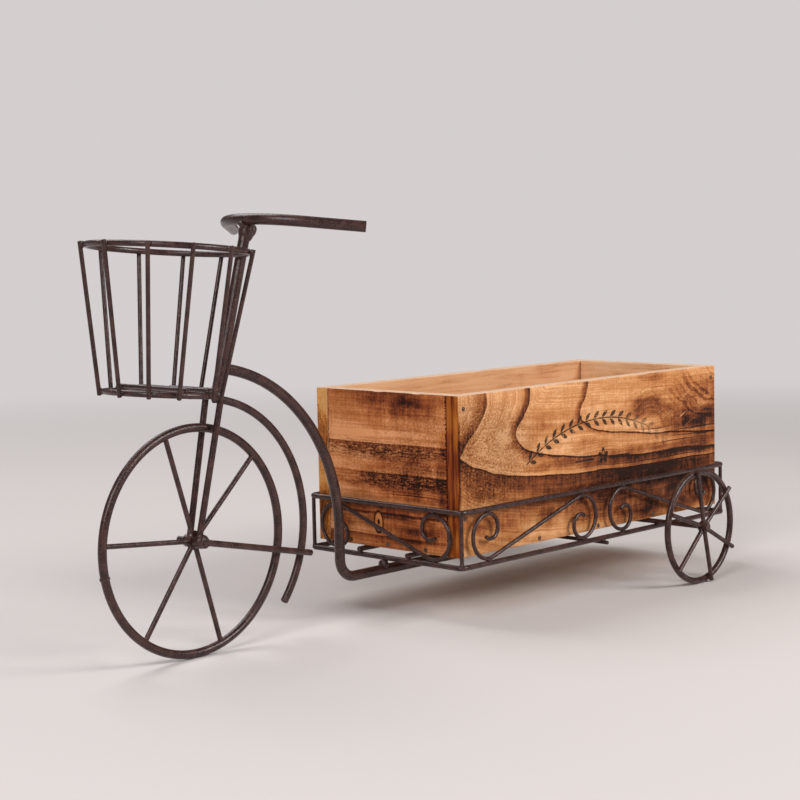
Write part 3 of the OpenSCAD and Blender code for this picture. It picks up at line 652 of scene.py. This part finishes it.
def cutCells(piece, size):  # cells let the saw marks show in the board's shape
    for axis in range(3):
        cuts = max(1, round(size[axis] / (boardLook["cell"] * mm)) - 1)
        long = boardLook["long"] * size[axis]
        inEdit(piece, "EDGE", lambda: pickEdges(piece, lambda a, b: abs((b - a)[axis]) > long))
        bpy.ops.mesh.subdivide(number_cuts=cuts)
        bpy.ops.object.mode_set(mode="OBJECT")


def breakSplinter(piece, spec, low, high, place, size):  # out of the outer top edge
    runs = "XY".index(spec["along"])
    spot = Vector((low.x, low.y, high.z))
    spot[runs] += place * mm
    spot[1 - runs] = high[1 - runs] if spec["out"][1 - runs] > 0 else low[1 - runs]
    inEdit(piece, "VERT", lambda: pickNear(piece, spot, size * mm / 2))
    push = Vector((-spec["out"][0], -spec["out"][1], boardLook["chipDrop"])) * boardLook["chipPush"] * mm
    bpy.ops.transform.translate(value=push)
    bpy.ops.object.mode_set(mode="OBJECT")


def sawWaves(piece):
    clouds = bpy.data.textures.new(piece.name + " waves", "CLOUDS")
    clouds.noise_scale = boardLook["waveSize"] * mm
    clouds.noise_depth = boardLook["waveDetail"]
    swell = piece.modifiers.new("swell", "DISPLACE")
    swell.texture = clouds
    swell.texture_coords = "LOCAL"
    swell.strength = boardLook["wave"] * mm
    selectOnly(piece)
    bpy.ops.object.modifier_apply(modifier="swell")


def dressBoard(piece, node, spec, low):
    along = spec["along"]
    outX, outY = spec["out"]
    outer = insideWood[along]
    if spec["look"]:
        corner = {"X": low.x, "Y": low.y, "Z": low.z}
        outer = scorchedWood(piece.name + " scorched", corner, along, spec["look"])
    ends = farEndGrain if node == "right_board" else endGrain
    for material in (outer, insideWood[along], sawnEdge[along], ends):
        piece.data.materials.append(material)
    for face in piece.data.polygons:
        normal = face.normal
        face.material_index = 1
        if normal.x * outX + normal.y * outY > boardLook["facing"]:
            face.material_index = 0
        elif abs(normal.z) > boardLook["facing"]:
            face.material_index = 2 if node != "bottom_board" else 1
        elif abs(normal["XY".index(along)]) > boardLook["facing"]:
            face.material_index = 3


def addBoard(node, spec):
    low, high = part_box(node)
    size = high - low - Vector((2 * boardLook["inset"] * mm,) * 3)
    bpy.ops.object.select_all(action="DESELECT")
    bpy.ops.mesh.primitive_cube_add(size=1, location=(low + high) / 2)
    piece = bpy.context.object
    piece.name = "charred_" + node
    piece.scale = size
    bpy.ops.object.transform_apply(location=True, rotation=True, scale=True)
    bpy.ops.object.mode_set(mode="EDIT")
    bpy.ops.mesh.bevel(offset=boardLook["edge"] * mm, segments=boardLook["edgeSteps"], affect="EDGES")
    bpy.ops.object.mode_set(mode="OBJECT")
    cutCells(piece, size)
    for place, broken in spec["chips"]:
        breakSplinter(piece, spec, low, high, place, broken)
    sawWaves(piece)
    dressBoard(piece, node, spec, low)
    bpy.ops.object.shade_smooth_by_angle(angle=math.radians(boardLook["sharp"]))
    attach(piece, "planter_box")
    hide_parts(node)


for node, spec in boards.items():
    addBoard(node, spec)

nailLook = {"metal": 0.15, "tones": [(0.35, (0.045, 0.024, 0.014)), (0.65, (0.150, 0.088, 0.055))],
            "stain": 900, "stainDetail": 3, "grain": 1400, "grainDetail": 2, "grainEdge": (0.3, 0.7),
            "rough": (0.4, 0.7)}
nailMetal, tree, shader, place = newMaterial("dull nail")
shader.inputs["Metallic"].default_value = nailLook["metal"]
stain = noise(tree, place, nailLook["stain"], nailLook["stainDetail"])
grain = noise(tree, place, nailLook["grain"], nailLook["grainDetail"])
rough = remap(tree, grain, *nailLook["grainEdge"], *nailLook["rough"])
tree.links.new(ramp(tree, stain, nailLook["tones"]), shader.inputs["Base Color"])
tree.links.new(rough, shader.inputs["Roughness"])
dressNode(cadNodes["nails"], nailMetal)
print("box dressed")


# weld beads and rounded rod ends, placed where the frame's own rods meet and stop

weldLook = {"near": 0.3, "apart": 6.0, "sample": 0.8, "bead": (2.3, 1.9, 1.5), "beadKinds": 3,
            "beadSwirl": 1.6, "swirlStep": 0.4, "blobSwirl": 3.0, "lumpy": 0.7, "facets": 3,
            "wheelBead": 0.75, "grow": (0.85, 1.15)}
weldedRods = {  # each pair of nodes that is welded together, and how fat its beads are
    ("basket_rim", "basket_staves"): 1.0,
    ("basket_base_ring", "basket_staves"): 1.0,
    ("basket_base_ring", "basket_floor_rods"): 0.8,
    ("basket_rim", "stem"): 1.1,
    ("basket_base_ring", "fork"): 1.1,
    ("corner_posts", "upper_rail"): 0.9,
    ("corner_posts", "lower_rail"): 0.9,
    ("bed_bars", "lower_rail"): 0.9,
    ("left_side_scrolls", "upper_rail"): 0.75,
    ("left_side_scrolls", "lower_rail"): 0.75,
    ("right_side_scrolls", "upper_rail"): 0.75,
    ("right_side_scrolls", "lower_rail"): 0.75,
    ("front_scroll", "upper_rail"): 0.75,
    ("front_scroll", "lower_rail"): 0.75,
    ("rear_scroll", "upper_rail"): 0.75,
    ("rear_scroll", "lower_rail"): 0.75,
    ("middle_cross_bar", "main_tube"): 1.1,
    ("handlebar", "stem"): 1.9,
    ("fork", "stem"): 1.9,
    ("mudguard", "fork"): 1.1,
    ("main_tube", "stem"): 1.2,
    ("mudguard_stay", "mudguard"): 0.9,
    ("middle_cross_bar", "lower_rail"): 0.9}
weldBlobs = {  # body, place in millimetres from the part's origin, half sizes, and degrees it leans back
    "handlebar joint": ("frame", (-165.0, 0.0, 287.4), (5.6, 5.2, 8.0), 15.4),
    "handlebar throat": ("frame", (-161.0, 0.0, 288.4), (4.0, 4.2, 5.2), 24.0),
    "hub side": ("frame", (-220.2, -8.6, 80.6), (5.1, 3.6, 4.9), 0.0),
    "hub middle": ("front_wheel", (-220.4, 0.0, 80.8), (6.8, 1.8, 6.6), 0.0),
    "front ring seam": ("front_wheel", (-295.7, 0.0, 65.4), (3.6, 3.7, 1.9), -10.0),
    "rim seam": ("frame", (-262.8, -37.4, 280.6), (1.9, 2.0, 2.0), 0.0),
    "base ring seam": ("frame", (-245.3, -31.3, 182.1), (2.4, 2.1, 2.1), 0.0),
    "tube on front rail": ("frame", (-37.0, 0.0, 36.8), (3.4, 4.4, 4.2), 0.0)}
rodEnds = {  # nodes whose rods end in the open, and the rods' radius in millimetres
    "basket_staves": 1.5, "basket_floor_rods": 1.5, "left_side_scrolls": 1.5, "right_side_scrolls": 1.5,
    "front_scroll": 1.5, "rear_scroll": 1.5, "mudguard_stay": 2.25, "mudguard": 2.75, "main_tube": 3.8}
domeLook = {"height": 0.42, "around": 24, "rings": 12, "below": -0.02, "sharp": 40, "fewest": 8,
            "areaOff": 0.06, "rimOff": 1.06}


def edgePoints(node, step):  # points all along the edges of a node, because straight rods have few corners
    mesh = cadNodes[node].data
    spots = []
    for edge in mesh.edges:
        start, end = (mesh.vertices[i].co for i in edge.vertices)
        count = max(1, int((end - start).length / step))
        spots += [start.lerp(end, i / count) for i in range(count)]
    return spots


def meetings(source, target):
    mesh = cadNodes[target].data
    corners = [vertex.co.copy() for vertex in mesh.vertices]
    skin = BVHTree.FromPolygons(corners, [tuple(face.vertices) for face in mesh.polygons])
    reach = weldLook["apart"] * mm
    groups = []  # each holds the sum of its points and their number
    for point in edgePoints(source, weldLook["sample"] * mm):
        spot = skin.find_nearest(point, weldLook["near"] * mm)[0]
        if spot is None:
            continue
        group = next((g for g in groups if (g[0] / g[1] - spot).length < reach), None)
        if group:
            group[0] += spot
            group[1] += 1
        else:
            groups.append([spot.copy(), 1])
    return [total / count for total, count in groups]


def rodTips(node, radius):  # the flat round faces at the ends of a node's rods
    mesh = cadNodes[node].data
    flats = {}
    for face in mesh.polygons:
        key = (*(round(c, 3) for c in face.normal), round(face.normal.dot(face.center) / mm, 1))
        flats.setdefault(key, []).append(face)
    tips = []
    for faces in flats.values():
        area = sum(f.area for f in faces)
        off = abs(area / (math.pi * (radius * mm) ** 2) - 1)
        if len(faces) < domeLook["fewest"] or off > domeLook["areaOff"]:
            continue
        centre = sum((f.center * f.area for f in faces), Vector()) / area
        rim = max((mesh.vertices[i].co - centre).length for f in faces for i in f.vertices)
        if rim < domeLook["rimOff"] * radius * mm:
            tips.append((centre, faces[0].normal.copy()))
    return tips


def modelLump(name, size, swirl):
    bpy.ops.object.select_all(action="DESELECT")
    bpy.ops.mesh.primitive_ico_sphere_add(subdivisions=weldLook["facets"], radius=mm, location=(0, 0, 0))
    lump = bpy.context.object
    lump.name = name
    lump.scale = size
    bpy.ops.object.transform_apply(location=True, rotation=True, scale=True)
    clouds = bpy.data.textures.new(name, "CLOUDS")
    clouds.noise_scale = swirl * mm
    bulge = lump.modifiers.new("bulge", "DISPLACE")
    bulge.texture = clouds
    bulge.strength = weldLook["lumpy"] * mm
    bpy.ops.object.modifier_apply(modifier="bulge")
    bpy.ops.object.shade_smooth()
    return lump


def modelDome():
    bpy.ops.object.select_all(action="DESELECT")
    bpy.ops.mesh.primitive_uv_sphere_add(segments=domeLook["around"], ring_count=domeLook["rings"], radius=1,
                                         location=(0, 0, 0))
    dome = bpy.context.object
    dome.name = "rod_end_dome"
    dome.scale = (1, 1, domeLook["height"])
    bpy.ops.object.transform_apply(location=True, rotation=True, scale=True)
    bpy.ops.object.mode_set(mode="EDIT")
    bpy.ops.mesh.select_all(action="SELECT")
    bpy.ops.mesh.bisect(plane_co=(0, 0, domeLook["below"]), plane_no=(0, 0, 1), clear_inner=True,
                        use_fill=True)
    bpy.ops.object.mode_set(mode="OBJECT")
    bpy.ops.object.shade_smooth_by_angle(angle=math.radians(domeLook["sharp"]))
    return dome


def copyOf(source, matrix):
    piece = source.copy()
    piece.data = source.data.copy()
    bpy.context.scene.collection.objects.link(piece)
    piece.data.transform(matrix)
    return piece


def beadAt(lumps, spot, grow):
    axis = Vector([random.uniform(-1, 1) for i in range(3)]).normalized()
    turn = Matrix.Rotation(random.uniform(0, math.tau), 4, axis)
    size = Matrix.Scale(grow * random.uniform(*weldLook["grow"]), 4)
    return copyOf(random.choice(lumps), Matrix.Translation(spot) @ turn @ size)


def domeAt(dome, centre, normal, radius):
    turn = normal.to_track_quat("Z", "Y").to_matrix().to_4x4()
    return copyOf(dome, Matrix.Translation(centre) @ turn @ Matrix.Scale(radius * mm, 4))


def joinWelds(pieces, body):
    bpy.ops.object.select_all(action="DESELECT")
    for piece in pieces:
        piece.select_set(True)
    bpy.context.view_layer.objects.active = pieces[0]
    bpy.ops.object.join()
    whole = bpy.context.object
    whole.name = body + "_welds"
    dressNode(whole, weldPaint)
    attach(whole, body)


lumps = []
for number in range(weldLook["beadKinds"]):
    swirl = weldLook["beadSwirl"] + weldLook["swirlStep"] * number
    lumps.append(modelLump("bead_" + str(number), weldLook["bead"], swirl))
dome = modelDome()
welds = {"frame": []}
for (source, target), grow in weldedRods.items():
    spots = meetings(source, target)
    print("  ", source, "on", target, len(spots), "beads")
    welds["frame"] += [beadAt(lumps, spot, grow) for spot in spots]
for node, radius in rodEnds.items():
    tips = rodTips(node, radius)
    print("  ", node, len(tips), "round ends")
    welds["frame"] += [domeAt(dome, centre, normal, radius) for centre, normal in tips]
for wheel in ("front_wheel", "left_wheel", "right_wheel"):
    spots = meetings(wheel + "_spokes", wheel + "_ring") + meetings(wheel + "_spokes", wheel + "_hub")
    print("  ", wheel, len(spots), "beads")
    welds[wheel] = [beadAt(lumps, spot, weldLook["wheelBead"]) for spot in spots]
for name, (body, at, size, lean) in weldBlobs.items():
    blob = modelLump(name.replace(" ", "_"), size, weldLook["blobSwirl"])
    blob.data.transform(Matrix.Translation(Vector(at) * mm) @ Matrix.Rotation(math.radians(lean), 4, "Y"))
    welds[body].append(blob)
for body, pieces in welds.items():
    joinWelds(pieces, body)
for master in lumps + [dome]:
    bpy.data.objects.remove(master)
print("welds done")


# stage, light and camera

stageLook = {"floor": (0.66, 0.63, 0.62), "floorRough": 0.8, "floorSize": 40, "pale": (0.660, 0.625, 0.620),
             "dim": (0.30, 0.27, 0.27), "dimStrength": 0.62, "fade": (0.9, 2.1)}
bpy.ops.object.select_all(action="DESELECT")
bpy.ops.mesh.primitive_plane_add(size=stageLook["floorSize"], location=(0, 0, 0))
floor = bpy.context.object
floor.name = "studio_floor"
floorPaint, tree, shader, place = newMaterial("pale floor")
shader.inputs["Base Color"].default_value = (*stageLook["floor"], 1)
shader.inputs["Roughness"].default_value = stageLook["floorRough"]
away = addNode(tree, "ShaderNodeVectorMath", {0: place}, operation="LENGTH").outputs["Value"]
fade = remap(tree, away, *stageLook["fade"])
backdrop = addNode(tree, "ShaderNodeEmission", {"Color": (*stageLook["pale"], 1), "Strength": 1.0})
mixed = addNode(tree, "ShaderNodeMixShader", {0: fade, 1: shader.outputs[0], 2: backdrop.outputs[0]})
tree.links.new(mixed.outputs[0], tree.nodes["Material Output"].inputs["Surface"])
floor.data.materials.append(floorPaint)

world = bpy.data.worlds.new("studio")  # pale for the camera, dimmer for the light it gives
bpy.context.scene.world = world
world.use_nodes = True
tree = world.node_tree
seen = tree.nodes.new("ShaderNodeLightPath").outputs["Is Camera Ray"]
dimInputs = {"Color": (*stageLook["dim"], 1), "Strength": stageLook["dimStrength"]}
dim = addNode(tree, "ShaderNodeBackground", dimInputs)
pale = addNode(tree, "ShaderNodeBackground", {"Color": (*stageLook["pale"], 1), "Strength": 1.0})
mixed = addNode(tree, "ShaderNodeMixShader", {0: seen, 1: dim.outputs[0], 2: pale.outputs[0]})
tree.links.new(mixed.outputs[0], tree.nodes["World Output"].inputs["Surface"])

lampsFace = Vector((0.05, 0, 0.12))
lamps = {"key": {"at": (0.75, -1.9, 1.35), "size": 0.9, "power": 38, "color": (1.0, 0.98, 0.95)},
         "fill": {"at": (-1.8, -0.7, 1.35), "size": 1.0, "power": 24, "color": (1.0, 0.965, 0.965)},
         "back": {"at": (0.1, 1.3, 1.9), "size": 1.4, "power": 26, "color": (1.0, 0.99, 0.98)}}
for name, lamp in lamps.items():
    light = bpy.data.lights.new(name, "AREA")
    light.shape = "SQUARE"
    light.size = lamp["size"]
    light.energy = lamp["power"]
    light.color = lamp["color"]
    item = bpy.data.objects.new(name, light)
    bpy.context.scene.collection.objects.link(item)
    item.location = lamp["at"]
    item.rotation_euler = (lampsFace - Vector(lamp["at"])).to_track_quat("-Z", "Y").to_euler()

cameraLook = {"at": (-1.00730, -0.9475, 0.2878), "yaw": 46.31, "pitch": -5.36, "roll": -1.20, "lens": 82.32,
              "sensor": 36, "nearest": 0.01}
yaw, pitch, roll = (math.radians(cameraLook[k]) for k in ("yaw", "pitch", "roll"))
ahead = Vector((math.sin(yaw) * math.cos(pitch), math.cos(yaw) * math.cos(pitch), math.sin(pitch)))
levelRight = ahead.cross(Vector((0, 0, 1))).normalized()
levelUp = levelRight.cross(ahead)
right = levelRight * math.cos(roll) + levelUp * math.sin(roll)
up = levelUp * math.cos(roll) - levelRight * math.sin(roll)
camera = bpy.data.objects.new("camera", bpy.data.cameras.new("camera"))
bpy.context.scene.collection.objects.link(camera)
camera.data.sensor_width = cameraLook["sensor"]
camera.data.lens = cameraLook["lens"]
camera.data.clip_start = cameraLook["nearest"]
turned = Matrix((right, up, -ahead)).transposed().to_4x4()
camera.matrix_world = Matrix.Translation(cameraLook["at"]) @ turned
bpy.context.scene.camera = camera
bpy.context.scene.view_settings.view_transform = "Standard"
print("stage done")
